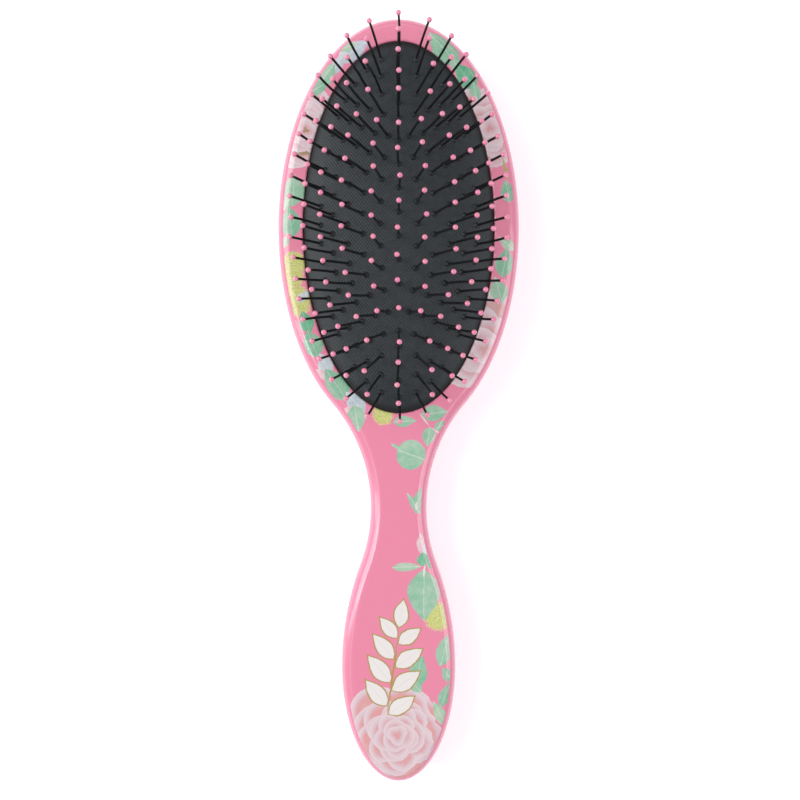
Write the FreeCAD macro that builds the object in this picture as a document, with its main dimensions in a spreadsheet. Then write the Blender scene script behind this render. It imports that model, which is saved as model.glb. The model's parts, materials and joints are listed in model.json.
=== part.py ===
# Cushioned detangling hairbrush, millimetres.
# X runs across the brush, +Y towards the top of the head, +Z the way the bristles point.
# The brush lies on its back: the origin is under the middle of its length, on that rest plane.
import FreeCAD, Part
import math
import os

Vector = FreeCAD.Vector
Rotation = FreeCAD.Rotation
Placement = FreeCAD.Placement

DIMENSIONS = {
    # outline, seen from the bristle side: elliptical head and grip end joined by tangent arcs
    "head_centre": 50.9,
    "head_half_length": 62.2,
    "head_half_width": 35.8,
    "neck_place": -32.0,
    "neck_half_width": 8.3,
    "grip_place": -79.0,
    "grip_half_length": 34.1,
    "grip_half_width": 16.9,
    # heights above the rest plane
    "seam_height": 10.0,
    "rim_height": 17.0,
    "land_depth": 0.35,
    "crown_radius": 110.0,
    # shells
    "wall": 2.0,
    "front_fillet": 3.6,
    "back_fillet": 4.0,
    "lip_fillet": 0.6,
    "peg_radius": 1.8,
    "peg_clearance": 0.05,
    "peg_reach": 3.0,
    "socket_radius": 3.4,
    "peg_pitch": 24.0,
    "peg_count": 3,
    "first_peg": -40.0,
    # cushion and what holds it
    "cushion_centre": 50.9,
    "cushion_half_length": 54.4,
    "cushion_half_width": 27.8,
    "opening_gap": 0.35,
    "dome_rise": 6.0,
    "dome_depth": 3.0,
    "membrane": 1.6,
    "flange_reach": 1.9,
    "flange_thickness": 1.5,
    "skirt_gap": 0.3,
    "skirt_wall": 1.6,
    "ring_thickness": 1.2,
    "ring_width": 2.6,
    "tray_wall": 1.5,
    "tray_floor": 8.0,
    "vent_radius": 1.5,
    # bristles
    "shaft_radius": 0.4,
    "hole_clearance": 0.09,
    "bristle_length": 15.2,
    "foot_radius": 1.1,
    "foot_thickness": 0.6,
    "foot_drop": 2.6,
    "tip_radius": 0.95,
    "tip_bore_clearance": 0.02,
    # how far a cutter stands out past the face it opens, and past a whole piece
    "overlap": 1.0,
    "cutter_reach": 5.0,
    "hairline": 0.001,
}

# ring: half width and half length at the roots, number of bristles, and outward lean in degrees
# beside the middle and at the ends; each ring has a bristle on the centre line at both ends
BRISTLE_RINGS = {
    "ring_1": (22.8, 50.0, 44, 29.0, 28.0),
    "ring_2": (19.3, 45.2, 38, 27.0, 27.0),
    "ring_3": (14.9, 40.4, 32, 27.0, 24.0),
    "ring_4": (10.4, 35.3, 26, 21.0, 19.0),
    "ring_5": (5.4, 30.8, 20, 7.0, 15.0),
}
CENTRE_ROW = {"count": 8, "pitch": 6.9, "lean_at_ends": 4.0}

ELLIPSE_STEPS = 2000  # chords that measure the way round a ring
HALVINGS = 50  # of the range in which the neck's tangent point is sought
TOLERANCE = 0.01  # measures this close count as the same

doc = FreeCAD.newDocument("hairbrush")


# ---------------------------------------------------------------- spreadsheet

sheet = doc.addObject("Spreadsheet::Sheet", "dims")
for line, (alias, value) in enumerate(DIMENSIONS.items(), start=1):
    sheet.set("A%d" % line, alias.replace("_", " "))
    sheet.set("B%d" % line, str(value))
    sheet.setAlias("B%d" % line, alias)
doc.recompute()


def size(alias):
    return float(sheet.get(alias))


def bind(item, prop, formula):
    """Tie a property to a formula whose words are the sheet's aliases."""
    words = formula.replace("(", "( ").replace(")", " )").split()
    known = DIMENSIONS.keys()
    item.setExpression(prop, " ".join("dims." + word if word in known else word for word in words))


# ---------------------------------------------------------------- helpers

def originPlane(body, role):
    return next(plane for plane in body.Origin.OriginFeatures if plane.Role == role)


def addSketch(body, name, role="XY_Plane", height=None):
    sketch = body.newObject("Sketcher::SketchObject", name)
    sketch.AttachmentSupport = [(originPlane(body, role), "")]
    sketch.MapMode = "FlatFace"
    if height:
        bind(sketch, "AttachmentOffset.Base.z", height)
    return sketch


def addFeature(body, kind, name, sketch, length, upwards=False):
    feature = body.newObject("PartDesign::" + kind, name)
    feature.Profile = sketch
    bind(feature, "Length", length)
    feature.Reversed = upwards
    doc.recompute()
    return feature


def drawEllipse(sketch, half_width, half_length, centre_y):
    top = Vector(0, centre_y + half_length, 0)
    side = Vector(half_width, centre_y, 0)
    sketch.addGeometry(Part.Ellipse(top, side, Vector(0, centre_y, 0)))


def neckTangent(half_width, half_length, neck):
    """Where an arc leaves the head's ellipse to run upright through the neck's narrowest point."""
    def arcAt(turn):
        point = Vector(half_width * math.cos(turn), size("head_centre") - half_length * math.sin(turn), 0)
        normal = Vector(math.cos(turn) / half_width, -math.sin(turn) / half_length, 0).normalize()
        radius = (point.x - neck.x) / (1 - normal.x)
        return point, normal, radius

    low, high = 0.3, 1.4
    for _ in range(HALVINGS):
        turn = (low + high) / 2
        point, normal, radius = arcAt(turn)
        if point.y + normal.y * radius < neck.y:
            low = turn
        else:
            high = turn
    return point, radius


def drawOutline(sketch, inset):
    """The brush's outline, moved inwards by inset: two ellipses joined by tangent arcs."""
    head_width = size("head_half_width") - inset
    head_length = size("head_half_length") - inset
    grip_width = size("grip_half_width") - inset
    grip_length = size("grip_half_length") - inset
    neck = Vector(size("neck_half_width") - inset, size("neck_place"), 0)
    grip = Vector(grip_width, size("grip_place"), 0)

    leave, neck_radius = neckTangent(head_width, head_length, neck)
    reach = grip.x - neck.x
    drop = neck.y - grip.y
    grip_radius = (reach ** 2 + drop ** 2) / (2 * reach) - neck_radius
    neck_hub = neck + Vector(neck_radius, 0, 0)
    grip_hub = grip - Vector(grip_radius, 0, 0)
    change = neck_hub + (grip_hub - neck_hub) * (neck_radius / (neck_radius + grip_radius))

    def onArc(hub, radius, start, end):
        middle = (start + end) * 0.5 - hub
        return hub + middle.normalize() * radius

    neck_middle = onArc(neck_hub, neck_radius, leave, change)
    grip_middle = onArc(grip_hub, grip_radius, change, grip)

    head_hub = Vector(0, size("head_centre"), 0)
    head = Part.Ellipse(head_hub + Vector(0, head_length, 0), head_hub + Vector(head_width, 0, 0), head_hub)
    turn = head.parameter(leave)
    spread = min(turn, 2 * math.pi - turn)
    sketch.addGeometry(Part.ArcOfEllipse(head, -spread, spread))

    grip_end = Part.Ellipse(Vector(0, grip.y - grip_length, 0), grip, Vector(0, grip.y, 0))
    sketch.addGeometry(Part.ArcOfEllipse(grip_end, -math.pi / 2, math.pi / 2))

    for side in (1, -1):
        def mirrored(point):
            return Vector(side * point.x, point.y, 0)
        sketch.addGeometry(Part.Arc(mirrored(leave), mirrored(neck_middle), mirrored(change)))
        sketch.addGeometry(Part.Arc(mirrored(change), mirrored(grip_middle), mirrored(grip)))


def addFillet(body, name, edges, radius):
    base = body.Tip
    fillet = body.newObject("PartDesign::Fillet", name)
    fillet.Base = (base, edges)
    bind(fillet, "Radius", radius)
    doc.recompute()


def edgesAtHeight(shape, height):
    found = []
    for number, edge in enumerate(shape.Edges, start=1):
        box = edge.BoundBox
        if abs(box.ZMin - height) < TOLERANCE and abs(box.ZMax - height) < TOLERANCE:
            found.append("Edge%d" % number)
    return found


def primitive(kind, name, **formulas):
    item = doc.addObject("Part::" + kind, name)
    for prop, formula in formulas.items():
        bind(item, prop.replace("__", "."), formula)
    return item


def combine(kind, name, base, tool):
    item = doc.addObject("Part::" + kind, name)
    item.Base = base
    item.Tool = tool
    return item


def ellipticDisc(name, half_width, half_length, bottom, thickness):
    """An upright elliptical cylinder on the cushion's centre."""
    curve = primitive("Ellipse", name + "_curve", MajorRadius=half_length, MinorRadius=half_width)
    curve.Placement = Placement(Vector(0, 0, 0), Rotation(Vector(0, 0, 1), 90))
    bind(curve, "Placement.Base.y", "cushion_centre")
    bind(curve, "Placement.Base.z", bottom)
    disc = doc.addObject("Part::Extrusion", name)
    disc.Base = curve
    disc.Dir = Vector(0, 0, 1)
    disc.Solid = True
    bind(disc, "LengthFwd", thickness)
    return disc


def ellipticRing(name, outer, inner, bottom, thickness):
    """A ring whose outer and inner edges stand outer and inner beyond the cushion's edge."""
    discs = []
    for part, reach in (("outer", outer), ("inner", inner)):
        discs.append(ellipticDisc(
            name + "_" + part,
            "cushion_half_width + " + reach,
            "cushion_half_length + " + reach,
            bottom,
            thickness,
        ))
    return combine("Cut", name, *discs)


def pegPlaces():
    return [(0, size("first_peg") - step * size("peg_pitch"), 0) for step in range(int(size("peg_count")))]


# ---------------------------------------------------------------- front shell

def frontShell():
    body = doc.addObject("PartDesign::Body", "front_shell")

    outline = addSketch(body, "front_outline", height="seam_height")
    drawOutline(outline, 0)
    addFeature(body, "Pad", "front_block", outline, "rim_height - seam_height")

    addFillet(body, "front_rounding", edgesAtHeight(body.Tip.Shape, size("rim_height")), "front_fillet")

    cavity = addSketch(body, "front_cavity_outline", height="seam_height")
    drawOutline(cavity, size("wall"))
    addFeature(body, "Pocket", "front_cavity", cavity, "rim_height - wall - seam_height", upwards=True)

    skirt = addSketch(body, "skirt_outline", height="seam_height")
    inner = size("flange_reach") + size("skirt_gap")
    for reach in (inner, inner + size("skirt_wall")):
        drawEllipse(
            skirt,
            size("cushion_half_width") + reach,
            size("cushion_half_length") + reach,
            size("cushion_centre"),
        )
    addFeature(body, "Pad", "skirt", skirt, "rim_height - wall * 0.5 - seam_height")

    opening = addSketch(body, "opening_outline", height="rim_height")
    drawEllipse(
        opening,
        size("cushion_half_width") + size("opening_gap"),
        size("cushion_half_length") + size("opening_gap"),
        size("cushion_centre"),
    )
    addFeature(body, "Pocket", "opening", opening, "rim_height - seam_height")

    opening_length = 2 * (size("cushion_half_length") + size("opening_gap"))
    lip_edges = [
        name for name in edgesAtHeight(body.Tip.Shape, size("rim_height"))
        if abs(body.Tip.Shape.getElement(name).BoundBox.YLength - opening_length) < TOLERANCE
    ]
    addFillet(body, "opening_lip", lip_edges, "lip_fillet")

    pegs = addSketch(body, "peg_outlines", height="seam_height - peg_reach")
    for place in pegPlaces():
        pegs.addGeometry(Part.Circle(Vector(*place), Vector(0, 0, 1), size("peg_radius")))
    addFeature(body, "Pad", "pegs", pegs, "rim_height - wall * 0.5 - seam_height + peg_reach")
    return body


# ---------------------------------------------------------------- back shell

def crownedBlock(name, inset, floor, rounding):
    """A block with the brush's outline, its underside crowned across the brush with a flat land."""
    body = doc.addObject("PartDesign::Body", name)
    outline = addSketch(body, name + "_outline", height=floor)
    drawOutline(outline, size(inset) if inset else 0)
    addFeature(body, "Pad", name + "_pad", outline, "seam_height - ( %s )" % floor)

    # the crown is cut by a wide strip below an arc that dips land_depth under the flat land
    crown = addSketch(body, name + "_crown", "XZ_Plane")
    radius = size("crown_radius") - (size(inset) if inset else 0)
    hub = size("crown_radius") - size("land_depth")
    reach = size("head_half_width") + size("cutter_reach")
    floor_height = -size("cutter_reach")
    rise = hub - math.sqrt(radius ** 2 - reach ** 2)
    lowest = hub - radius
    left, right = Vector(-reach, rise, 0), Vector(reach, rise, 0)
    below_left, below_right = Vector(-reach, floor_height, 0), Vector(reach, floor_height, 0)
    crown.addGeometry(Part.Arc(left, Vector(0, lowest, 0), right))
    crown.addGeometry(Part.LineSegment(right, below_right))
    crown.addGeometry(Part.LineSegment(below_right, below_left))
    crown.addGeometry(Part.LineSegment(below_left, left))
    cut = body.newObject("PartDesign::Pocket", name + "_crown_cut")
    cut.Profile = crown
    cut.Type = "ThroughAll"
    cut.Midplane = True
    doc.recompute()

    edges = []
    for number, edge in enumerate(body.Tip.Shape.Edges, start=1):
        faces = [face for face in body.Tip.Shape.Faces if any(edge.isSame(other) for other in face.Edges)]
        upright = [abs(face.normalAt(*middleOf(face)).z) < TOLERANCE for face in faces]
        low = edge.BoundBox.ZMax < size("seam_height") - size("wall") / 4
        if low and upright.count(True) == 1:
            edges.append("Edge%d" % number)
    addFillet(body, name + "_rounding", edges, rounding)
    return body


def middleOf(face):
    first_u, last_u, first_v, last_v = face.ParameterRange
    return (first_u + last_u) / 2, (first_v + last_v) / 2


def backShell():
    outer = crownedBlock("back_block", None, "0", "back_fillet")
    cavity = crownedBlock("back_cavity", "wall", "wall", "back_fillet - wall")
    walls = combine("Cut", "back_walls", outer, cavity)

    posts = []
    bores = []
    for number, (across, along, _) in enumerate(pegPlaces(), start=1):
        post = primitive("Cylinder", "post_%d" % number, Radius="socket_radius", Height="seam_height - wall * 0.5")
        post.Placement.Base = Vector(across, along, 0)
        bind(post, "Placement.Base.z", "wall * 0.5")
        bore = primitive(
            "Cylinder", "bore_%d" % number, Radius="peg_radius + peg_clearance", Height="peg_reach + overlap"
        )
        bore.Placement.Base = Vector(across, along, 0)
        bind(bore, "Placement.Base.z", "seam_height - peg_reach - overlap * 0.5")
        posts.append(post)
        bores.append(bore)
    posted = doc.addObject("Part::MultiFuse", "back_posted")
    posted.Shapes = [walls] + posts
    sockets = doc.addObject("Part::MultiFuse", "back_bores")
    sockets.Shapes = bores
    return combine("Cut", "back_shell", posted, sockets)


# ---------------------------------------------------------------- cushion and its supports

def domeHeight(across, along):
    """Height of the cushion's outer surface over a place measured from the cushion's centre."""
    depth = size("dome_depth")
    full = size("dome_rise") + depth
    widen = 1 / math.sqrt(1 - (depth / full) ** 2)
    share = (across / (size("cushion_half_width") * widen)) ** 2
    share += (along / (size("cushion_half_length") * widen)) ** 2
    return size("rim_height") - depth + full * math.sqrt(max(0.0, 1 - share))


def domeBlock(name, shrink):
    """An ellipsoid that passes through the cushion's edge at rim height, cut off straight below."""
    widen = "sqrt( 1 - ( dome_depth / ( dome_rise + dome_depth ) ) ^ 2 )"
    ball = primitive(
        "Ellipsoid", name + "_ball",
        Radius1="dome_rise + dome_depth - " + shrink,
        Radius2="cushion_half_width / %s - %s" % (widen, shrink),
        Radius3="cushion_half_length / %s - %s" % (widen, shrink),
        Placement__Base__y="cushion_centre",
        Placement__Base__z="rim_height - dome_depth",
    )
    ball.Angle1 = 0
    column = ellipticDisc(
        name + "_column",
        "cushion_half_width - " + shrink,
        "cushion_half_length - " + shrink,
        "rim_height - dome_depth",
        "dome_rise + dome_depth + overlap",
    )
    return combine("Common", name, ball, column)


def cushionPad(roots):
    flange_bottom = "rim_height - wall - flange_thickness"
    flange = ellipticDisc(
        "flange", "cushion_half_width + flange_reach", "cushion_half_length + flange_reach",
        flange_bottom, "flange_thickness",
    )
    skin = doc.addObject("Part::MultiFuse", "cushion_skin")
    skin.Shapes = [flange, domeBlock("dome_outside", "0")]
    mouth = ellipticDisc(
        "cushion_mouth", "cushion_half_width - membrane", "cushion_half_length - membrane",
        flange_bottom + " - overlap", "flange_thickness + overlap + hairline",
    )
    hollow = doc.addObject("Part::MultiFuse", "cushion_hollow")
    hollow.Shapes = [mouth, domeBlock("dome_inside", "membrane")]
    blank = combine("Cut", "cushion_blank", skin, hollow)

    holes = doc.addObject("Part::Feature", "bristle_holes")
    radius = size("shaft_radius") + size("hole_clearance")
    reach = size("membrane") * 3
    holes.Shape = Part.makeCompound([
        Part.makeCylinder(radius, 2 * reach, root - way * reach, way) for root, way in roots
    ])
    return combine("Cut", "cushion_pad", blank, holes)


def cushionRing():
    return ellipticRing(
        "cushion_ring", "flange_reach", "flange_reach - ring_width",
        "rim_height - wall - flange_thickness - ring_thickness", "ring_thickness",
    )


def cushionTray():
    height = "rim_height - wall - flange_thickness - ring_thickness - tray_floor"
    wall = ellipticRing("tray_wall_ring", "flange_reach", "flange_reach - tray_wall", "tray_floor", height)
    floor = ellipticDisc(
        "tray_floor_disc", "cushion_half_width + flange_reach", "cushion_half_length + flange_reach",
        "tray_floor", "tray_wall",
    )
    cup = doc.addObject("Part::MultiFuse", "tray_cup")
    cup.Shapes = [wall, floor]
    vent = primitive(
        "Cylinder", "vent", Radius="vent_radius", Height="tray_wall + 2 * overlap",
        Placement__Base__y="cushion_centre", Placement__Base__z="tray_floor - overlap",
    )
    return combine("Cut", "cushion_tray", cup, vent)


# ---------------------------------------------------------------- bristles

def ringPlaces(half_width, half_length, count, side_lean, end_lean):
    """Roots at even steps around an ellipse, each with its outward direction and lean."""
    points = []
    for step in range(ELLIPSE_STEPS + 1):
        turn = 2 * math.pi * step / ELLIPSE_STEPS
        points.append((half_width * math.sin(turn), half_length * math.cos(turn)))
    travelled = [0.0]
    for (x0, y0), (x1, y1) in zip(points, points[1:]):
        travelled.append(travelled[-1] + math.hypot(x1 - x0, y1 - y0))
    places = []
    step = 0
    for number in range(count):
        while travelled[step] < travelled[-1] * number / count - TOLERANCE:
            step += 1
        across, along = points[step]
        outward = Vector(across / half_width ** 2, along / half_length ** 2, 0).normalize()
        share = (along / half_length) ** 2
        places.append((across, along, outward, side_lean + (end_lean - side_lean) * share))
    return places


def centrePlaces(count, pitch, lean_at_ends):
    """Roots along the centre line, upright in the middle and leaning a little towards the ends."""
    middle = (count - 1) / 2
    return [
        (0.0, (number - middle) * pitch, Vector(0, 1, 0), (number / middle - 1) * lean_at_ends)
        for number in range(count)
    ]


def bristleAxes(places):
    """Root point on the cushion's surface and unit direction for each place."""
    axes = []
    for across, along, outward, lean in places:
        root = Vector(across, size("cushion_centre") + along, domeHeight(across, along))
        angle = math.radians(lean)
        axes.append((root, outward * math.sin(angle) + Vector(0, 0, math.cos(angle))))
    return axes


def bristleTemplate():
    """One bristle standing on the origin: a shaft through the cushion, with a foot below it."""
    shaft = primitive(
        "Cylinder", "bristle_shaft", Radius="shaft_radius", Height="bristle_length + foot_drop",
        Placement__Base__z="0 - foot_drop",
    )
    foot = primitive(
        "Cylinder", "bristle_foot", Radius="foot_radius", Height="foot_thickness",
        Placement__Base__z="0 - foot_drop - foot_thickness",
    )
    bristle = doc.addObject("Part::MultiFuse", "bristle")
    bristle.Shapes = [shaft, foot]
    return bristle


def tipTemplate():
    """A ball that covers the end of a bristle standing on the origin."""
    ball = primitive(
        "Sphere", "tip_ball", Radius="tip_radius", Placement__Base__z="bristle_length",
    )
    bore = primitive(
        "Cylinder", "tip_bore", Radius="shaft_radius + tip_bore_clearance", Height="tip_radius + overlap",
        Placement__Base__z="bristle_length - tip_radius - overlap",
    )
    return combine("Cut", "tip", ball, bore)


def placedCopies(name, template, axes):
    """One node holding a separate copy of the template on each axis."""
    copies = []
    for root, way in axes:
        copy = template.Shape.Solids[0].copy()
        copy.Placement = Placement(root, Rotation(Vector(0, 0, 1), way))
        copies.append(copy)
    node = doc.addObject("Part::Feature", name)
    node.Shape = Part.makeCompound(copies)
    node.Placement = Placement()
    return node


# ---------------------------------------------------------------- assembly

def bristleGroups():
    """Bristle axes by node name: the centre row, and each ring's left and right halves."""
    groups = {"centre": bristleAxes(centrePlaces(**CENTRE_ROW))}
    for ring, facts in BRISTLE_RINGS.items():
        axes = bristleAxes(ringPlaces(*facts))
        groups[ring + "_left"] = [axis for axis in axes if axis[0].x < -TOLERANCE]
        groups[ring + "_right"] = [axis for axis in axes if axis[0].x >= -TOLERANCE]
    return groups


def buildAll():
    bristle = bristleTemplate()
    tip = tipTemplate()
    doc.recompute()
    groups = bristleGroups()

    nodes = [frontShell(), backShell(), cushionRing(), cushionTray()]
    nodes.append(cushionPad([axis for axes in groups.values() for axis in axes]))
    for name, axes in groups.items():
        nodes.append(placedCopies(name + "_bristles", bristle, axes))
        nodes.append(placedCopies(name + "_tips", tip, axes))
    doc.recompute()
    for node in nodes:
        node.Label = node.Name
    return nodes


def checkDocument(nodes):
    for item in doc.Objects:
        if "Invalid" in item.State or "Error" in item.State:
            raise RuntimeError("%s failed: %s" % (item.Name, item.State))
    for node in nodes:
        if node.Shape.isNull() or not node.Shape.isValid():
            raise RuntimeError(node.Label + " has no valid shape")
    dome_top = size("rim_height") + size("dome_rise")
    if doc.getObject("cushion_pad").Shape.BoundBox.ZMax > dome_top + TOLERANCE:
        raise RuntimeError("a bristle hole isn't cut clean through the cushion")


nodes = buildAll()
checkDocument(nodes)
os.makedirs("parts", exist_ok=True)
for node in nodes:
    node.Shape.exportStep("parts/%s.step" % node.Label)
    box = node.Shape.BoundBox
    print("%-26s %3d solids %10.1f mm3  z %.2f to %.2f" % (
        node.Label, len(node.Shape.Solids), node.Shape.Volume, box.ZMin, box.ZMax))
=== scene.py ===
import json
import math
import random

import bmesh
import bpy
from mathutils import Matrix, Vector

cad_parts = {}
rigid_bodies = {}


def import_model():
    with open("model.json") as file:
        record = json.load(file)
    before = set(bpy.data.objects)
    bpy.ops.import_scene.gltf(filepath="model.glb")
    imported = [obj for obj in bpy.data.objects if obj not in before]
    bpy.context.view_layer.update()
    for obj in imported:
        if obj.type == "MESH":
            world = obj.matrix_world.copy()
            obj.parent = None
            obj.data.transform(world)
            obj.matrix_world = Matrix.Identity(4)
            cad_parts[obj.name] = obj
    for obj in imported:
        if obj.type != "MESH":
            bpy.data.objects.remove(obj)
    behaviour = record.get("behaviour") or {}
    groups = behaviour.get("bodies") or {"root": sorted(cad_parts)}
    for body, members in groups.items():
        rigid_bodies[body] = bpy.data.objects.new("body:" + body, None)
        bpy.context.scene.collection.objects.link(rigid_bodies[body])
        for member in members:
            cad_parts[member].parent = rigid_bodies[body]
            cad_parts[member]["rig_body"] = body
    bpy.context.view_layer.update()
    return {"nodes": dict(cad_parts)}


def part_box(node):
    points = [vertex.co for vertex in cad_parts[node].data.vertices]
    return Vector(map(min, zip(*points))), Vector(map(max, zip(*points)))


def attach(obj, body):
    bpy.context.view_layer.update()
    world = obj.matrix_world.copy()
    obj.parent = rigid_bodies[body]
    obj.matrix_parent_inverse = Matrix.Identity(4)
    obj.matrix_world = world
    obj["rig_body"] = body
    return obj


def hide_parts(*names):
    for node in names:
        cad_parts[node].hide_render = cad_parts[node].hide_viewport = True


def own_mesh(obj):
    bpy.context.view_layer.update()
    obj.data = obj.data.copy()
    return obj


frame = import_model()
print("frame loaded:", len(frame["nodes"]), "nodes")

mm = 0.001
nodes = frame["nodes"]
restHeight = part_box("back_shell")[0].z
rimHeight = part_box("front_shell")[1].z
padLow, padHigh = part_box("cushion_pad")
padMiddle = (padLow.y + padHigh.y) / 2


# stage: camera, lights and floor

stage = {
    "viewDistance": 0.296,  # lens above the rim
    "lens": 45.3,
    "aim": (0.0004, 0.0),
    "floorSize": 3.0,
    "floorGlow": 0.38,
    "floorColour": (0.975, 0.975, 0.98),
    "worldColour": (0.95, 0.97, 1.0),
    "worldStrength": 0.45,
    "lights": [
        # name, place, aimed at, width, length, watts
        ("softLeft", (-0.85, 0.25, 0.80), (0, 0.03, 0), 0.7, 0.9, 7.4),
        ("softRight", (0.90, -0.10, 0.85), (0, 0, 0), 0.7, 0.9, 4.6),
        ("stripLeft", (-0.55, -0.10, 0.42), (0, -0.03, 0), 0.08, 0.7, 0.7),
    ],
}


def makeStage(facts):
    bpy.ops.mesh.primitive_plane_add(size=facts["floorSize"], location=(0, 0, restHeight - 0.2 * mm))
    floor = bpy.context.object
    floor.name = "floor"

    eye = bpy.data.cameras.new("viewer")
    eye.lens = facts["lens"]
    eye.clip_start = 0.01
    camera = bpy.data.objects.new("viewer", eye)
    camera.location = (*facts["aim"], rimHeight + facts["viewDistance"])
    bpy.context.scene.collection.objects.link(camera)
    bpy.context.scene.camera = camera

    for name, place, target, width, length, watts in facts["lights"]:
        lamp = bpy.data.lights.new(name, "AREA")
        lamp.shape = "RECTANGLE"
        lamp.size = width
        lamp.size_y = length
        lamp.energy = watts
        holder = bpy.data.objects.new(name, lamp)
        holder.location = place
        holder.rotation_euler = (Vector(target) - Vector(place)).to_track_quat("-Z", "Y").to_euler()
        bpy.context.scene.collection.objects.link(holder)

    world = bpy.data.worlds.new("studio")
    world.use_nodes = True
    sky = world.node_tree.nodes["Background"]
    sky.inputs["Color"].default_value = (*facts["worldColour"], 1)
    sky.inputs["Strength"].default_value = facts["worldStrength"]
    bpy.context.scene.world = world
    bpy.context.scene.view_settings.view_transform = "Standard"
    return floor


# shader expressions

class Wire:  # a socket that adds and multiplies like a number
    def __init__(self, sheet, socket):
        self.sheet = sheet
        self.socket = socket

    def math(self, operation, *others):
        return self.sheet.node("Math", {"operation": operation}, [self, *others])

    def __add__(self, other):
        return self.math("ADD", other)

    def __sub__(self, other):
        return self.math("SUBTRACT", other)

    def __rsub__(self, other):
        return self.sheet.node("Math", {"operation": "SUBTRACT"}, [other, self])

    def __mul__(self, other):
        return self.math("MULTIPLY", other)

    def __pow__(self, other):
        return self.math("POWER", other)

    def __abs__(self):
        return self.math("ABSOLUTE")

    __radd__ = __add__
    __rmul__ = __mul__

    def scaled(self, factor, plus):
        return self.math("MULTIPLY_ADD", factor, plus)

    def held(self):  # kept between 0 and 1, which a Mix node does by itself
        return self.math("MINIMUM", 1).math("MAXIMUM", 0)


class NodeTree:  # nodes are added by type, settings and inputs
    def node(self, kind, settings, inputs, output=0):
        made = self.tree.nodes.new("ShaderNode" + kind)
        for key, value in settings.items():
            if key == "stops":
                self.setStops(made.color_ramp, value)
            else:
                setattr(made, key, value)
        slots = inputs.items() if isinstance(inputs, dict) else enumerate(inputs)
        for key, value in slots:
            self.feed(made.inputs[key], value)
        return Wire(self, made.outputs[output])

    def feed(self, socket, value):
        if isinstance(value, Wire):
            self.tree.links.new(value.socket, socket)
        elif value is not None:
            socket.default_value = value

    def setStops(self, ramp, stops):
        while len(ramp.elements) < len(stops):
            ramp.elements.new(0.5)
        for element, (place, colour) in zip(ramp.elements, stops):
            element.position = place
            element.color = (*colour, 1)

    def place(self, scale=1.0):
        spot = self.node("TexCoord", {}, {}, "Object")
        return self.node("VectorMath", {"operation": "SCALE"}, {0: spot, "Scale": scale})

    def parts(self, vector):
        split = self.node("SeparateXYZ", {}, [vector]).socket.node
        return [Wire(self, socket) for socket in split.outputs]

    def noise(self, vector, scale, detail=3.0, roughness=0.5):
        inputs = {"Vector": vector, "Scale": scale, "Detail": detail, "Roughness": roughness}
        return self.node("TexNoise", {}, inputs)

    def mix(self, mask, first, second):
        colours = [colour if isinstance(colour, Wire) else (*colour, 1) for colour in (first, second)]
        return self.node("Mix", {"data_type": "RGBA"}, {0: mask, 6: colours[0], 7: colours[1]}, 2)

    def ramp(self, value, stops):
        return self.node("ValToRGB", {"stops": stops}, [value])

    def bump(self, height, distance, strength=1.0):
        return self.node("Bump", {}, {"Height": height, "Distance": distance, "Strength": strength})


class Sheet(NodeTree):  # a material
    def __init__(self, name):
        self.material = bpy.data.materials.new(name)
        self.material.use_nodes = True
        self.tree = self.material.node_tree
        self.tree.nodes.clear()
        self.shader = self.tree.nodes.new("ShaderNodeBsdfPrincipled")
        output = self.tree.nodes.new("ShaderNodeOutputMaterial")
        self.tree.links.new(self.shader.outputs[0], output.inputs[0])

    def finish(self, **sockets):
        for name, value in sockets.items():
            self.feed(self.shader.inputs[name.replace("_", " ")], value)
        return self.material


class Stamp(NodeTree):  # a motif that is set down many times, each with its own numbers
    def __init__(self, name, numbers, colours):
        self.tree = bpy.data.node_groups.new(name, "ShaderNodeTree")
        for kind, labels in (("NodeSocketFloat", numbers), ("NodeSocketColor", colours)):
            for label in labels:
                self.tree.interface.new_socket(label, in_out="INPUT", socket_type=kind)
        self.tree.interface.new_socket("colour", in_out="OUTPUT", socket_type="NodeSocketColor")
        inlet = self.tree.nodes.new("NodeGroupInput")
        self.inlet = {socket.name: Wire(self, socket) for socket in inlet.outputs if socket.name}

    def finish(self, colour):
        outlet = self.tree.nodes.new("NodeGroupOutput")
        self.feed(outlet.inputs[0], colour)
        return self.tree


def screen(text):  # a screen colour such as "ef8ca8" as linear light
    parts = [int(text[at:at + 2], 16) / 255 for at in (0, 2, 4)]
    return tuple(part / 12.92 if part <= 0.04045 else ((part + 0.055) / 1.055) ** 2.4 for part in parts)


def wear(thing, material):
    thing.data.materials.clear()
    thing.data.materials.append(material)


# printed flowers: places and sizes in millimetres on the brush's own plan

inks = {
    # dark, light, rib
    "green": ("7fbb98", "a6cdb2", "dfeee0"),
    "mint": ("8ec3a2", "b6d2ba", "eef4ea"),
    "sage": ("a0c6a6", "c9dcc4", "f1f3ea"),
    "deep": ("5fae88", "86c6a0", "b7dcc0"),
    "ice": ("b9c6cf", "dfe3e8", "f4f4f6"),
    "blush": ("e6b3bb", "f1dade", "f7ebec"),
    "olive": ("a9a05a", "c6bd77", "c6bd77"),
    "thread": ("e8d9d4", "f3e8e4", "f7efec"),
}

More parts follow.
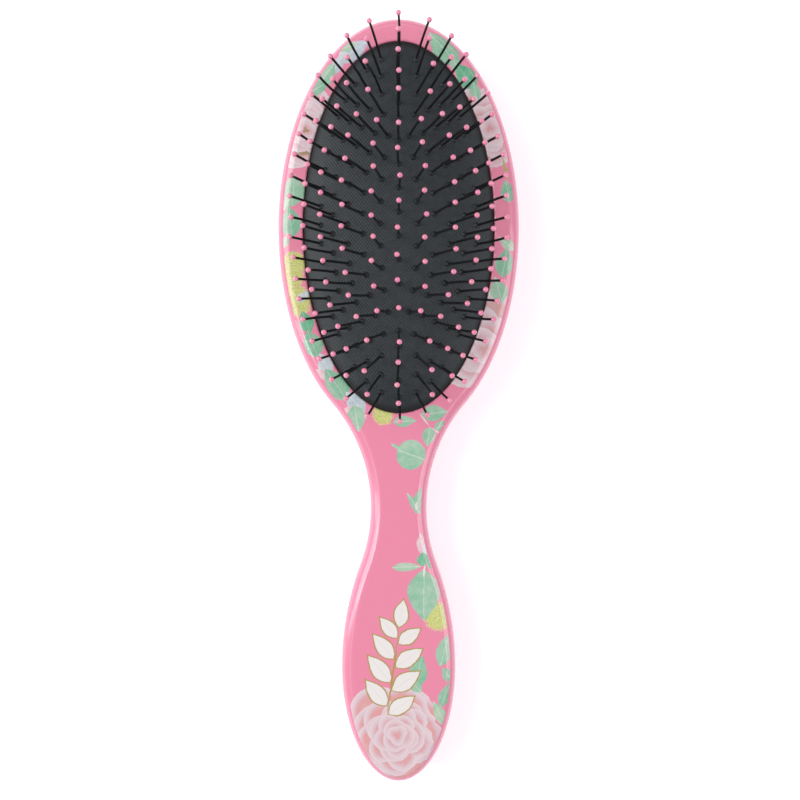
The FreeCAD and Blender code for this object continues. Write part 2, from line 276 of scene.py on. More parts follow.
artwork = {
    "leaves": [
        # x, y, length, width, turn in degrees, ink
        (-13.4, 102.6, 11.5, 5.4, 35, "ice"),
        (-15.0, 103.9, 6.0, 3.0, 12, "sage"),
        (-18.0, 98.6, 6.5, 3.6, 60, "ice"),
        (-21.4, 95.6, 9.0, 5.4, 55, "mint"),
        (-23.6, 92.0, 8.0, 4.2, 28, "green"),
        (-31.0, 61.6, 9.6, 7.2, 85, "mint"),
        (-32.8, 58.0, 5.0, 2.6, 60, "sage"),
        (-31.8, 52.4, 9.0, 6.6, 95, "green"),
        (-33.2, 46.8, 4.6, 2.4, 70, "sage"),
        (-27.8, 30.6, 5.4, 2.6, 40, "ice"),
        (-27.2, 23.0, 7.0, 4.4, 110, "deep"),
        (-25.4, 16.6, 8.6, 6.0, 112, "green"),
        (-21.6, 10.6, 7.2, 4.6, 118, "ice"),
        (-22.6, 7.6, 5.0, 2.6, 140, "blush"),
        (-18.4, 4.6, 11.5, 7.0, 125, "green"),
        (-12.8, -0.8, 8.4, 5.4, 130, "ice"),
        (-14.6, -3.0, 5.4, 2.2, 38, "blush"),
        (-12.4, -5.4, 8.2, 5.4, 280, "mint"),
        (1.8, -6.3, 7.0, 3.4, 4, "mint"),
        (10.6, -3.8, 8.0, 4.9, 6, "mint"),
        (12.8, -7.6, 5.0, 3.2, 22, "green"),
        (7.4, -5.6, 5.4, 0.6, 128, "thread"),
        (10.8, -9.0, 4.6, 0.5, 148, "thread"),
        (8.8, -10.8, 6.0, 3.9, 262, "mint"),
        (11.7, -12.4, 4.2, 1.3, 68, "deep"),
        (-0.9, -13.6, 3.8, 1.3, 150, "mint"),
        (6.2, -29.4, 8.6, 3.8, 74, "green"),
        (4.4, -30.4, 7.4, 2.4, 122, "mint"),
        (5.2, -31.2, 3.0, 0.9, 88, "thread"),
        (7.6, -25.6, 2.6, 0.8, 40, "deep"),
        (6.8, -42.4, 7.0, 3.0, 98, "blush"),
        (8.4, -43.4, 5.6, 2.6, 66, "ice"),
        (6.8, -43.8, 2.4, 1.2, 20, "blush"),
        (7.2, -46.8, 4.4, 3.8, 92, "deep"),
        (10.0, -47.6, 4.8, 2.6, 62, "deep"),
        (2.4, -49.1, 9.2, 2.7, 2, "sage"),
        (7.4, -57.4, 15.4, 9.6, 270, "mint"),
        (7.6, -50.0, 5.2, 0.7, 84, "thread"),
        (5.8, -80.0, 10.4, 5.4, 78, "green"),
        (4.6, -84.0, 6.0, 3.2, 140, "mint"),
        (13.6, -73.4, 10.4, 5.0, 74, "mint"),
        (14.4, -80.8, 5.4, 3.4, 125, "green"),
        (13.8, -86.6, 8.4, 3.6, 66, "green"),
        (12.2, -92.4, 9.0, 3.6, 118, "sage"),
        (13.2, 103.4, 13.0, 7.0, 132, "green"),
        (16.6, 99.2, 6.0, 3.2, 110, "mint"),
        (19.8, 95.2, 9.4, 6.0, 128, "deep"),
        (22.4, 91.0, 6.4, 3.4, 105, "mint"),
        (32.0, 61.4, 7.0, 4.2, 100, "green"),
        (31.4, 68.0, 7.6, 1.2, 105, "olive"),
        (31.8, 46.0, 6.4, 3.2, 140, "sage"),
        (31.2, 40.4, 9.0, 5.6, 80, "green"),
        (29.4, 32.4, 8.0, 5.2, 105, "mint"),
    ],
    "roundLeaf": (3.6, -16.1, 8.6, 9.0, 160),
    "roses": [
        # x, y, radius, turn in degrees, layers, heart colour
        (-27.4, 79.4, 12.0, 20, 6, "a88a5c"),
        (26.8, 80.0, 11.6, 140, 6, "e09a9a"),
        (25.2, 14.8, 14.0, 75, 6, "dfa9a6"),
        (-0.4, -98.6, 14.6, 200, 9, "e9a2a0"),
    ],
    "pompons": [
        # x, y, radius
        (-30.8, 40.2, 3.6),
        (-31.2, 36.0, 3.2),
        (-30.2, 29.2, 4.6),
        (-4.6, -4.3, 3.0),
        (11.6, -63.6, 4.2),
    ],
    "pomponTones": [(0.32, "b4bd58"), (0.5, "d3d67e"), (0.68, "ebe6ae")],
    "pomponSize": 1.05,
    "pomponFluff": 0.9,
    "pomponEdge": 6,
    "petalTones": [
        # depth of the petal, colour; the last is the rose's own heart
        (0.0, "efdcdf"), (0.2, "ead2d7"), (0.42, "e7c9d0"),
        (0.6, "e4bcc3"), (0.78, "e2adb1"), (0.95, None),
    ],
    "sprig": {
        "stem": (-1.6, -80.0, 29.0, 0.7, 82),
        "bud": (8.4, 4.0),
        "budPlace": 0.6,
        "leafLean": 48,  # degrees from the stem
        "leafOut": 0.56,
        "leaves": [
            # share along the stem, side, length, width
            (0.06, 1, 9.2, 4.4), (0.14, -1, 9.8, 4.6), (0.30, 1, 10.0, 4.8), (0.38, -1, 10.2, 4.8),
            (0.54, 1, 9.6, 4.6), (0.62, -1, 9.4, 4.4), (0.78, 1, 8.0, 3.8), (0.84, -1, 7.8, 3.8),
        ],
        "white": "f3ece9",
        "rib": "e7d9c6",
        "gold": "b89a55",
        "edge": 0.42,
    },
    "backRoses": [
        (-14.0, 84.0, 12.5, 30, 6, "dfa9a6"),
        (13.5, 45.0, 13.5, 100, 6, "e09a9a"),
        (-13.0, 12.0, 11.5, 60, 6, "dfa9a6"),
        (1.5, -88.0, 11.0, 10, 6, "e9a2a0"),
    ],
    "backPompons": [(16.5, 84.0, 3.8), (-18.5, 46.0, 4.2), (10.0, 14.0, 3.6), (-2.0, -36.0, 3.0)],
    "backLeaves": {
        "each": 5,  # around every rose
        "swing": 14,
        "gap": (2.5, 4.5),
        "length": (7, 10),
        "slimness": 0.52,
        "inks": ["green", "mint", "deep", "sage"],
    },
    "backSeed": 5,
    "edge": 0.16,  # softness of every printed edge
    "border": 1.7,  # plain margin inside the outline
}


def frameOf(x, y, length, width, turn):
    # numbers that turn the plane into a motif's own two coordinates, -1 to 1 along it and across it
    cosine, sine = math.cos(math.radians(turn)), math.sin(math.radians(turn))
    wide, tall = 2 / length, 2 / width
    first = (cosine * wide, sine * wide, -(x * cosine + y * sine) * wide)
    second = (-sine * tall, cosine * tall, (x * sine - y * cosine) * tall)
    return first, second


def localPlane(plane, first, second):
    across, along = plane
    return [across.scaled(row[0], along.scaled(row[1], row[2])) for row in (first, second)]


frameLabels = ("firstX", "firstY", "firstAt", "secondX", "secondY", "secondAt")

leafLook = {
    "taper": 0.3,  # fuller towards the stem than towards the point
    "leastTaper": 0.2,
    "veinSweep": 0.8,  # how far the veins run forwards as they leave the rib
    "veinPitch": 1.9,
    "veinTone": 0.1,
    "blotchTone": 2.4,
    "shadeAcross": 0.25,
    "darker": 0.7,
    "ribHalfWidth": 0.17,  # millimetres
    "ribStrength": 0.6,
    "roundSweep": 0.7,
    "roundVeins": 9.0,
    "roundShade": 0.3,
    "roundRib": 22,
}


def leafStamp():
    labels = ("across", "along", "blotch", *frameLabels, "edgeGain", "veins", "ribGain", "grow")
    stamp = Stamp("leafStamp", labels, ("ground", "dark", "light", "rib"))
    inlet = stamp.inlet
    rows = [inlet[label] for label in frameLabels]
    run, off = localPlane((inlet["across"], inlet["along"]), rows[:3], rows[3:])
    away = abs(off)
    taper = run.scaled(-leafLook["taper"], 1).math("MAXIMUM", leafLook["leastTaper"])
    inside = (1 - run * run) * taper - away + inlet["grow"]
    mask = inside * inlet["edgeGain"]
    veins = ((run - away * leafLook["veinSweep"]) * inlet["veins"]).math("SINE") * leafLook["veinTone"]
    tone = inlet["blotch"] * leafLook["blotchTone"] + veins + off * leafLook["shadeAcross"]
    ribbed = (1 - away * inlet["ribGain"]) * leafLook["ribStrength"]
    colour = stamp.mix(tone - leafLook["darker"], inlet["dark"], inlet["light"])
    colour = stamp.mix(ribbed, colour, inlet["rib"])
    return stamp.finish(stamp.mix(mask, inlet["ground"], colour))


def paintLeaf(sheet, stamp, plane, ground, blotch, shape, colours, grow=0.0):
    first, second = frameOf(*shape)
    length, width = shape[2:4]
    inputs = dict(zip(frameLabels, (*first, *second)))
    inputs |= {"across": plane[0], "along": plane[1], "blotch": blotch, "ground": ground, "grow": grow}
    inputs |= {
        "edgeGain": width / 2 / artwork["edge"],
        "veins": length * leafLook["veinPitch"],
        "ribGain": width / 2 / leafLook["ribHalfWidth"],
    }
    inputs |= {label: (*screen(colour), 1) for label, colour in zip(("dark", "light", "rib"), colours)}
    return sheet.node("Group", {"node_tree": stamp}, inputs)


def paintRoundLeaf(sheet, plane, ground, blotch, shape):
    run, off = localPlane(plane, *frameOf(*shape))
    reach = (run * run + off * off) ** 0.5
    mask = (1 - reach) * (shape[3] / 2 / artwork["edge"])
    dark, light, rib = (screen(colour) for colour in inks["mint"])
    veins = ((run - abs(off) * leafLook["roundSweep"]) * leafLook["roundVeins"]).math("SINE")
    tone = blotch * leafLook["blotchTone"] + veins * leafLook["veinTone"] - off * leafLook["roundShade"]
    colour = sheet.mix(tone - leafLook["darker"], dark, light)
    colour = sheet.mix((1 - abs(off) * leafLook["roundRib"]) * leafLook["ribStrength"], colour, rib)
    return sheet.mix(mask, ground, colour)


def paintPompon(sheet, plane, ground, fluff, x, y, radius):
    first, second = localPlane(plane, *frameOf(x, y, 2 * radius, 2 * radius, 0))
    reach = (first * first + second * second) ** 0.5
    mask = (artwork["pomponSize"] - reach + (fluff - 0.5) * artwork["pomponFluff"]) * artwork["pomponEdge"]
    stops = [(at, screen(tone)) for at, tone in artwork["pomponTones"]]
    return sheet.mix(mask, ground, sheet.ramp(fluff, stops))


roseLook = {
    "petals": (5, 6, 4),  # in turn, layer by layer
    "heartPetals": 3,  # in the two innermost layers
    "outermost": 1.08,  # size of the first layer, in radii
    "crowding": 0.4,
    "shrink": 0.85,
    "swing": 2.1,  # radians from layer to layer
    "offCentre": 0.11,
    "scallop": 0.19,
    "reach": 0.84,
    "layerDepth": 0.62,
    "layerEdge": 0.25,  # millimetres
    "uneven": 0.07,
    "grey": "dccfd5",
    "greyFrom": 0.42,
    "greyGain": 2.4,
    "greyShare": 0.4,
}


def paintRose(sheet, plane, ground, blotch, x, y, radius, turn, layers, heart):
    across, up = localPlane(plane, *frameOf(x, y, 2 * radius, 2 * radius, turn))
    reach = (across * across + up * up) ** 0.5 + (blotch - 0.5) * roseLook["uneven"]
    angle = up.math("ARCTAN2", across)
    shade = None
    for layer in range(layers):
        size = roseLook["outermost"] * (1 - layer / (layers + roseLook["crowding"])) ** roseLook["shrink"]
        petals = roseLook["petals"][layer % 3] if layer < layers - 2 else roseLook["heartPetals"]
        swing = layer * roseLook["swing"]
        lean = roseLook["offCentre"] * size
        scallop = abs((angle * (petals / 2) + swing).math("COSINE"))
        shift = across.scaled(lean * math.cos(swing), up * (lean * math.sin(swing)))
        inside = scallop.scaled(roseLook["scallop"] * size, roseLook["reach"] * size) + shift - reach
        depth = inside * (layers * roseLook["layerDepth"])
        if shade is None:
            outer = inside * (radius / artwork["edge"])
            shade = depth
        else:
            mask = (inside * (radius / roseLook["layerEdge"])).held()
            shade = shade + (depth - shade) * mask
    petals = sheet.ramp(shade, [(at, screen(colour or heart)) for at, colour in artwork["petalTones"]])
    greying = (blotch - roseLook["greyFrom"]) * roseLook["greyGain"]
    greyed = sheet.mix(greying, petals, screen(roseLook["grey"]))
    return sheet.mix(outer, ground, sheet.mix(roseLook["greyShare"], petals, greyed))


def paintSprig(sheet, stamp, plane, ground, blotch, facts):
    x, y, length, width, turn = facts["stem"]
    way = Vector((math.cos(math.radians(turn)), math.sin(math.radians(turn))))
    shapes = []
    for share, side, leafLength, leafWidth in facts["leaves"]:
        lean = turn - side * facts["leafLean"]
        out = Vector((math.cos(math.radians(lean)), math.sin(math.radians(lean))))
        middle = Vector((x, y)) + way * (length * (share - 0.5)) + out * (leafLength * facts["leafOut"])
        shapes.append((*middle, leafLength, leafWidth, lean))
    top = Vector((x, y)) + way * (length * facts["budPlace"])
    shapes.append((*top, *facts["bud"], turn))
    gold, white = [facts["gold"]] * 3, [facts["white"], facts["white"], facts["rib"]]
    ground = paintLeaf(sheet, stamp, plane, ground, blotch, facts["stem"], gold)
    for shape in shapes:
        rim = 2 * facts["edge"] / shape[3]
        ground = paintLeaf(sheet, stamp, plane, ground, blotch, shape, gold, grow=rim)
        ground = paintLeaf(sheet, stamp, plane, ground, blotch, shape, white)
    return ground


def backArtwork():
    # a quieter sowing of the same motifs on the back, kept clear of one another
    dice = random.Random(artwork["backSeed"])
    sown = artwork["backLeaves"]
    leaves = []
    for x, y, radius, turn, *_ in artwork["backRoses"]:
        for step in range(sown["each"]):
            angle = turn + step * 360 / sown["each"] + dice.uniform(-sown["swing"], sown["swing"])
            reach = radius + dice.uniform(*sown["gap"])
            bearing = math.radians(angle)
            place = (x + reach * math.cos(bearing), y + reach * math.sin(bearing))
            long = dice.uniform(*sown["length"])
            leaves.append((*place, long, long * sown["slimness"], angle, dice.choice(sown["inks"])))
    return {"roses": artwork["backRoses"], "pompons": artwork["backPompons"], "leaves": leaves}


# outline of both shells in millimetres: two ovals joined by tangent arcs

outline = {
    "headMiddle": 50.9, "headHalfWidth": 35.8, "headHalfLength": 62.2,
    "neckPlace": -32.0, "neckHalfWidth": 8.3,
    "gripMiddle": -79.0, "gripHalfWidth": 16.9, "gripHalfLength": 34.1,
}


def outlineArcs(facts):
    # the neck's hollow arc and the grip's round arc, and where they start
    halfWidth, halfLength = facts["headHalfWidth"], facts["headHalfLength"]
    low, high = 0.3, 1.4  # radians around the head between which it leaves for the neck
    for _ in range(50):
        turn = (low + high) / 2
        leave = Vector((halfWidth * math.cos(turn), facts["headMiddle"] - halfLength * math.sin(turn)))
        normal = Vector((math.cos(turn) / halfWidth, -math.sin(turn) / halfLength)).normalized()
        neckRadius = (leave.x - facts["neckHalfWidth"]) / (1 - normal.x)
        if leave.y + normal.y * neckRadius < facts["neckPlace"]:
            low = turn
        else:
            high = turn
    reach = facts["gripHalfWidth"] - facts["neckHalfWidth"]
    drop = facts["neckPlace"] - facts["gripMiddle"]
    bothRadii = (reach ** 2 + drop ** 2) / (2 * reach)
    change = facts["neckPlace"] - drop * neckRadius / bothRadii
    return neckRadius, bothRadii - neckRadius, leave.y, change


def insetFromEdge(sheet, plane):
    # distance inwards from the outline, in millimetres
    across, along, _ = sheet.parts(plane)
    side = abs(across)
    neckRadius, gripRadius, headEnd, neckEnd = outlineArcs(outline)

    def oval(middle, halfWidth, halfLength):
        wide, tall = side * (1 / halfWidth), (along - middle) * (1 / halfLength)
        reach = (wide * wide + tall * tall) ** 0.5
        slope = ((wide * (1 / halfWidth)) ** 2 + (tall * (1 / halfLength)) ** 2) ** 0.5
        return ((1 - reach) * reach).math("DIVIDE", slope)

    def fromHub(hubSide, hubPlace):
        return ((side - hubSide) ** 2 + (along - hubPlace) ** 2) ** 0.5

    head = oval(outline["headMiddle"], outline["headHalfWidth"], outline["headHalfLength"])
    neck = fromHub(outline["neckHalfWidth"] + neckRadius, outline["neckPlace"]) - neckRadius
    grip = gripRadius - fromHub(outline["gripHalfWidth"] - gripRadius, outline["gripMiddle"])
    inset = oval(outline["gripMiddle"], outline["gripHalfWidth"], outline["gripHalfLength"])
    for start, stretch in ((outline["gripMiddle"], grip), (neckEnd, neck), (headEnd, head)):
        inset = inset + (stretch - inset) * along.math("GREATER_THAN", start)
    return inset


shellLook = {
    "pink": "f391ad",
    "warmPink": "f48ba8",
    "edgePink": "f28fac",
    # painted highlight: a paler pink line a little inside the outline, where the rounded edge meets the
    # flat face
    "line": "f9b9cc",
    "linePlace": 2.7,
    "lineHalfWidth": 0.3,
    "lineGain": 3,
    "lineStrength": 0.35,
    "borderGain": 12,
    "blotches": (0.35, 4, 0.62),  # scale, detail and roughness of a noise
    "fluff": (3.2, 2, 0.7),
    "scuffs": (0.9, 5, 0.6),
    "waves": (0.05, 1),
    "unevenHand": (0.9, 0.5),  # millimetres that the print strays across and along
    "waveDepth": 0.05 * mm,
    "waveStrength": 0.3,
    "roughness": 0.2,
    "scuffing": 0.08,
    "coat": 0.6,
    "coatRoughness": 0.06,
}


def shellMaterial(name, stamp, motifs, mirrored):
    sheet = Sheet(name)
    place = sheet.place(1 / mm)
    across, along, _ = sheet.parts(place)
    blotch = sheet.noise(place, *shellLook["blotches"])
    fluff = sheet.noise(place, *shellLook["fluff"])
    side = -1 if mirrored else 1
    strayAcross, strayAlong = shellLook["unevenHand"]
    plane = (across * side + (blotch - 0.5) * strayAcross, along + (fluff - blotch) * strayAlong)
    ground = sheet.mix(blotch, screen(shellLook["pink"]), screen(shellLook["warmPink"]))
    for rose in motifs["roses"]:
        ground = paintRose(sheet, plane, ground, blotch, *rose)
    for pompon in motifs["pompons"]:
        ground = paintPompon(sheet, plane, ground, fluff, *pompon)
    if "roundLeaf" in motifs:
        ground = paintRoundLeaf(sheet, plane, ground, blotch, motifs["roundLeaf"])
    for *shape, ink in motifs["leaves"]:
        ground = paintLeaf(sheet, stamp, plane, ground, blotch, shape, inks[ink])
    if "sprig" in motifs:
        ground = paintSprig(sheet, stamp, plane, ground, blotch, motifs["sprig"])

    inset = insetFromEdge(sheet, place)
    inPrint = (inset - artwork["border"]) * shellLook["borderGain"]
    # painted highlight: a paler pink line along the inset where the rounded edge begins
    onHighlight = (shellLook["lineHalfWidth"] - abs(inset - shellLook["linePlace"])) * shellLook["lineGain"]
    colour = sheet.mix(inPrint, screen(shellLook["edgePink"]), ground)
    colour = sheet.mix(onHighlight * shellLook["lineStrength"], colour, screen(shellLook["line"]))
    scuffs = sheet.noise(place, *shellLook["scuffs"])
    waves = sheet.noise(place, *shellLook["waves"])
    return sheet.finish(
        Base_Color=colour,
        Roughness=scuffs * shellLook["scuffing"] + (shellLook["roughness"] - shellLook["scuffing"] / 2),
        Coat_Weight=shellLook["coat"],
        Coat_Roughness=shellLook["coatRoughness"],
        Normal=sheet.bump(waves, shellLook["waveDepth"], shellLook["waveStrength"]),
    )


def mottled(name, scale, detail, dark, light):
    # a plain material whose colour drifts between two tones
    sheet = Sheet(name)
    shade = sheet.noise(sheet.place(1 / mm), scale, detail)
    return sheet, shade, sheet.ramp(shade, [(0.3, dark), (0.7, light)])


def tipMaterial():
    sheet, _, colour = mottled("tipPink", 0.8, 2, screen("f07fa3"), screen("f79bb6"))
    return sheet.finish(Base_Color=colour, Roughness=0.22, Coat_Weight=0.8, Coat_Roughness=0.05)


def nylonMaterial():
    sheet, shade, colour = mottled("blackNylon", 0.5, 2, (0.006, 0.006, 0.008), (0.014, 0.014, 0.017))
    return sheet.finish(Base_Color=colour, Roughness=shade * 0.15 + 0.28)


cushionLook = {
    "dark": "1d2225",
    "light": "33393e",
    "shadow": (0.003, 0.003, 0.004),
    "darkRim": 0.55,  # millimetres above the rim that lie in the gap's shadow
    "pitch": 0.72,  # millimetres from rib to rib of the grain
    "slant": 38,
    "grainTone": 0.28,
    "dust": (0.5, 4, 0.6),  # scale, detail and roughness of a noise
    "pores": (5, 2),
    "poreDepth": 0.6,
    "roughness": 0.46,
    "grainShine": 0.03,
    "depth": 0.06,
}


def cushionMaterial():
    sheet = Sheet("cushionRubber")
    plane = sheet.place(1 / mm)
    across, along, up = sheet.parts(plane)
    slant = math.radians(cushionLook["slant"])
    turns = 2 * math.pi / cushionLook["pitch"]
    ribs = []
    for side in (1, -1):
        run = across * (math.cos(slant) * turns) + along * (side * math.sin(slant) * turns)
        ribs.append(run.math("SINE"))
    grain = (ribs[0] + ribs[1]) * 0.5
    dust = sheet.noise(plane, *cushionLook["dust"])
    tone = grain * cushionLook["grainTone"] + dust
    colour = sheet.ramp(tone, [(0.2, screen(cushionLook["dark"])), (0.8, screen(cushionLook["light"]))])
    # painted shadow: the rubber turns to the shadow colour near the rim, where the gap's shade would fall
    gap = (up - (rimHeight / mm + cushionLook["darkRim"])).scaled(1.6, 0.5)
    colour = sheet.mix(gap, cushionLook["shadow"], colour)
    fine = grain + sheet.noise(plane, *cushionLook["pores"]) * cushionLook["poreDepth"]
    return sheet.finish(
        Base_Color=colour,
        Roughness=dust * 0.12 + (cushionLook["roughness"] - grain * cushionLook["grainShine"]),
        Normal=sheet.bump(fine, cushionLook["depth"] * mm, 0.8),
    )


def collarMaterial():
    sheet, shade, colour = mottled("collarRubber", 1.5, 3, screen("1d1f22"), screen("2a2d31"))
    return sheet.finish(Base_Color=colour, Roughness=shade * 0.15 + 0.36)


def innerMaterial():
    sheet, shade, colour = mottled("innerPlastic", 0.4, 4, screen("cf6f8a"), screen("db7d97"))
    return sheet.finish(Base_Color=colour, Roughness=shade * 0.2 + 0.4)


def floorMaterial():
    sheet = Sheet("floorPaper")
    grain = sheet.noise(sheet.place(), 60)
    colour = sheet.ramp(grain, [(0.3, (0.965, 0.965, 0.97)), (0.7, stage["floorColour"])])
    return sheet.finish(
        Base_Color=colour,
        Roughness=0.7,
        Emission_Color=colour,
        Emission_Strength=stage["floorGlow"],
    )


# modelling helpers

def deselectAll():
    if bpy.context.mode != "OBJECT":
        bpy.ops.object.mode_set(mode="OBJECT")
    bpy.ops.object.select_all(action="DESELECT")


def activate(thing):
    deselectAll()
    thing.select_set(True)
    bpy.context.view_layer.objects.active = thing


def settle(thing):  # object at the origin, its place in its mesh
    activate(thing)
    bpy.ops.object.transform_apply(location=True, rotation=True, scale=True)


def joined(things, name):
    deselectAll()
    for thing in things:
        thing.select_set(True)
    bpy.context.view_layer.objects.active = things[0]
    if len(things) > 1:
        bpy.ops.object.join()
    things[0].name = name
    return things[0]


def growRound(name, sides, profile):
    # a round piece drawn upwards from a disc: radius and height of each ring
    deselectAll()
    radius, height = profile[0]
    bpy.ops.mesh.primitive_circle_add(
        vertices=sides, radius=radius, fill_type="NGON", location=(0, 0, height),
    )
    thing = bpy.context.object
    thing.name = name
    settle(thing)
    bpy.ops.object.mode_set(mode="EDIT")
    bpy.ops.mesh.select_all(action="SELECT")
    for nextRadius, nextHeight in profile[1:]:
        bpy.ops.mesh.extrude_region_move(TRANSFORM_OT_translate={"value": (0, 0, nextHeight - height)})
        grown = nextRadius / radius
        bpy.ops.transform.resize(value=(grown, grown, 1))
        radius, height = nextRadius, nextHeight
    bpy.ops.mesh.select_all(action="SELECT")
    bpy.ops.mesh.normals_make_consistent(inside=False)
    bpy.ops.object.mode_set(mode="OBJECT")
    return thing


def roundOff(thing, degrees=50):
    activate(thing)
    bpy.ops.object.shade_smooth_by_angle(angle=math.radians(degrees))


# cushion: a blown rubber dome with a skirt that goes down into the shell

cushion = {
    "halfWidth": 27.8 * mm,
    "halfLength": 54.4 * mm,
    "depth": 3.0 * mm,  # from the rim down to the middle of the oval it is cut from
    "skirt": 1.6 * mm,
    "sunk": 0.1 * mm,  # the dome's edge, below the rim
    "around": 128,
    "rings": 96,
}


def domeShape(facts):
    # middle and half sizes of the oval ball whose top is the dome
    tall = padHigh.z - rimHeight + facts["depth"]
    widen = math.sqrt(1 - (facts["depth"] / tall) ** 2)
    middle = Vector((0, padMiddle, rimHeight - facts["depth"]))
    return middle, (facts["halfWidth"] / widen, facts["halfLength"] / widen, tall)


def makeCushion(facts):
    deselectAll()
    middle, halfSizes = domeShape(facts)
    bpy.ops.mesh.primitive_uv_sphere_add(
        segments=facts["around"], ring_count=facts["rings"], radius=1, location=middle, scale=halfSizes,
    )
    dome = bpy.context.object
    dome.name = "cushion"
    settle(dome)
    bpy.ops.object.mode_set(mode="EDIT")
    bpy.ops.mesh.select_all(action="SELECT")
    bpy.ops.mesh.bisect(
        plane_co=(0, padMiddle, rimHeight - facts["sunk"]), plane_no=(0, 0, 1),
        clear_inner=True, clear_outer=False,
    )
    bpy.ops.mesh.select_all(action="SELECT")
    bpy.ops.mesh.region_to_loop()
    bpy.ops.mesh.extrude_edges_move(TRANSFORM_OT_translate={"value": (0, 0, -facts["skirt"])})
    bpy.ops.mesh.select_all(action="SELECT")
    bpy.ops.mesh.normals_make_consistent(inside=False)
    bpy.ops.object.mode_set(mode="OBJECT")
    roundOff(dome, 60)
    return dome


# bristles: black nylon shafts with pink balls, one set for each ring of the design

bristle = {
    "shaftRadius": 0.37 * mm,
    "length": 15.2 * mm,  # from the cushion to the middle of the ball
    "buried": 1.0 * mm,
    "ballRadius": 0.79 * mm,
    "ballSquash": 0.94,
    "collarRadius": 0.8 * mm,
    "collarHeight": 0.6 * mm,
    "shaftSides": 6,
    "shaftSteps": 6,
    "collarSides": 9,
    "ballSegments": (10, 7),
    "bow": 0.35 * mm,
    "unevenTip": 0.35 * mm,
    "tiredAround": (-11 * mm, 98 * mm),  # where use has bent the bristles most
    "tiredReach": 16 * mm,
    "tiredBow": 2.2 * mm,
    "seed": 7,
}


def readShafts(node):
    # foot and end of every shaft of a node, read from the separate solids of its mesh
    copy = bmesh.new()
    copy.from_mesh(bpy.data.objects[node].data)
    bmesh.ops.remove_doubles(copy, verts=copy.verts, dist=0.0005 * mm)
    left = set(copy.verts)
    shafts = []
    while left:
        found = [left.pop()]
        for vert in found:
            for edge in vert.link_edges:
                other = edge.other_vert(vert)
                if other in left:
                    left.remove(other)
                    found.append(other)
        low = min(vert.co.z for vert in found)
        high = max(vert.co.z for vert in found)
        feet = [vert.co for vert in found if vert.co.z < low + 0.25 * (high - low)]
        ends = [vert.co for vert in found if vert.co.z > high - 0.10 * (high - low)]
        shafts.append((sum(feet, Vector()) / len(feet), sum(ends, Vector()) / len(ends)))
    copy.free()
    return sorted(shafts, key=lambda shaft: (round(shaft[0].y, 4), round(shaft[0].x, 4)))


def copyOf(thing, change):
    twin = thing.copy()
    twin.data = thing.data.copy()
    twin.data.transform(change)
    bpy.context.scene.collection.objects.link(twin)
    return twin


def templates(facts):
    steps = facts["shaftSteps"]
    profile = [(facts["shaftRadius"], -facts["buried"])]
    profile += [(facts["shaftRadius"], facts["length"] * step / steps) for step in range(1, steps + 1)]
    shaft = growRound("bristleTemplate", facts["shaftSides"], profile)
    roundOff(shaft)
    collarProfile = [
        (facts["collarRadius"] * 1.35, -0.35), (facts["collarRadius"], 0.35),
        (facts["collarRadius"] * 0.66, 0.85), (facts["shaftRadius"] * 1.05, 1.0),
    ]
    collarProfile = [(radius, share * facts["collarHeight"]) for radius, share in collarProfile]
    collar = growRound("collarTemplate", facts["collarSides"], collarProfile)
    roundOff(collar, 80)
    deselectAll()
    segments, rings = facts["ballSegments"]
    bpy.ops.mesh.primitive_uv_sphere_add(segments=segments, ring_count=rings, radius=facts["ballRadius"])
    ball = bpy.context.object
    ball.name = "ballTemplate"
    bpy.ops.object.mode_set(mode="EDIT")
    bpy.ops.mesh.select_all(action="SELECT")
    bpy.ops.transform.resize(value=(1, 1, facts["ballSquash"]))
    bpy.ops.object.mode_set(mode="OBJECT")
    roundOff(ball, 80)
    return shaft, collar, ball


def anySide(dice):
    return Vector((dice.uniform(-1, 1), dice.uniform(-1, 1), 0))


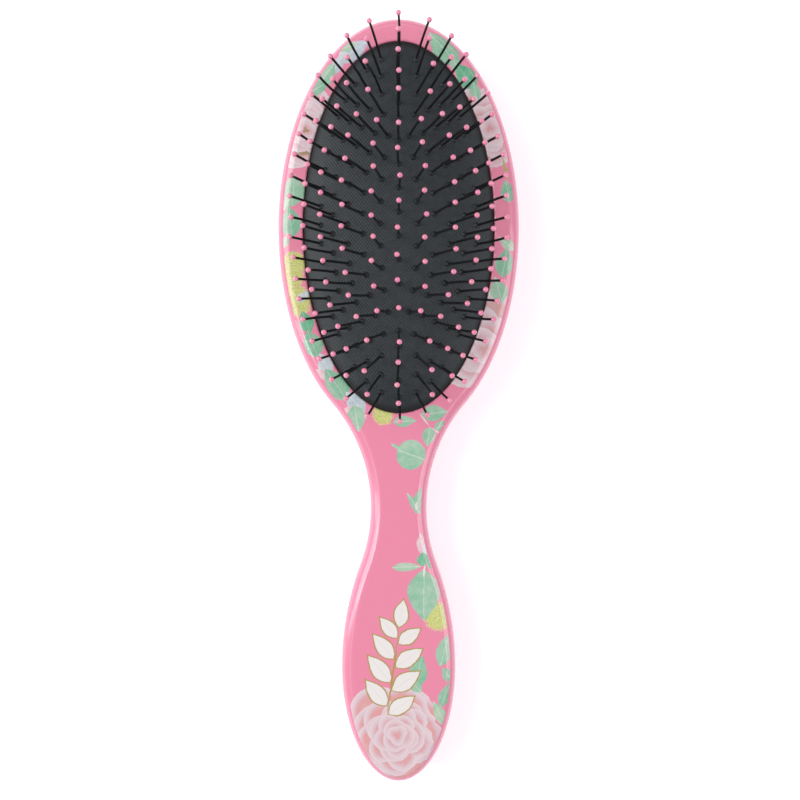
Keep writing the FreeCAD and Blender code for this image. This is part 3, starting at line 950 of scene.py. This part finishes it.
def makeBristles(facts):
    shaft, collar, ball = templates(facts)
    rubber, nylon, pink = collarMaterial(), nylonMaterial(), tipMaterial()
    dice = random.Random(facts["seed"])
    made = 0
    for node in sorted(name for name in nodes if name.endswith("_bristles")):
        base = node[:-len("_bristles")]
        body = nodes[node]["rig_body"]
        shafts, collars, balls = [], [], []
        for foot, end in readShafts(node):
            way = (end - foot).normalized()
            root = end - way * facts["length"]
            fromTired = (root.to_2d() - Vector(facts["tiredAround"])).length
            tired = max(0, 1 - fromTired / facts["tiredReach"])
            bow = anySide(dice) * (facts["bow"] + tired * facts["tiredBow"])
            sway = anySide(dice) * facts["unevenTip"] + bow * 0.4
            turn = way.to_track_quat("Z", "Y").to_matrix().to_4x4()
            twin = copyOf(shaft, turn)
            for vert in twin.data.vertices:
                share = max(0, vert.co.dot(way) / facts["length"])
                vert.co += root + sway * share ** 1.5 + bow * (share * (1 - share) * 2.2)
            shafts.append(twin)
            collars.append(copyOf(collar, Matrix.Translation(root) @ collarTurn(root)))
            balls.append(copyOf(ball, Matrix.Translation(end + sway) @ turn))
            made += 1
        for group, name, material, replaced, slot in (
            (shafts, base + "_shafts", nylon, node, "bristle_nylon"),
            (balls, base + "_balls", pink, base + "_tips", "tip_plastic"),
            (collars, base + "_collars", rubber, None, "cushion_rubber"),
        ):
            piece = joined(group, name)
            piece.data.name = name
            wear(piece, material)
            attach(piece, body)
            if replaced:
                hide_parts(replaced)
    for template in (shaft, collar, ball):
        bpy.data.objects.remove(template)
    print("bristles:", made)


def collarTurn(root):
    # square to the dome under a root
    middle, halfSizes = domeShape(cushion)
    normal = Vector([away / half ** 2 for away, half in zip(root - middle, halfSizes)])
    return normal.to_track_quat("Z", "Y").to_matrix().to_4x4()


# build

floor = makeStage(stage)
wear(floor, floorMaterial())
print("stage set")

leafShape = leafStamp()
wear(nodes["front_shell"], shellMaterial("printedFront", leafShape, artwork, False))
wear(nodes["back_shell"], shellMaterial("printedBack", leafShape, backArtwork(), True))
for name in ("cushion_ring", "cushion_tray"):
    wear(nodes[name], innerMaterial())
print("shells printed")

pad = makeCushion(cushion)
wear(pad, cushionMaterial())
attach(pad, nodes["cushion_pad"]["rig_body"])
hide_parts("cushion_pad")
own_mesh(pad)
print("cushion moulded")

makeBristles(bristle)
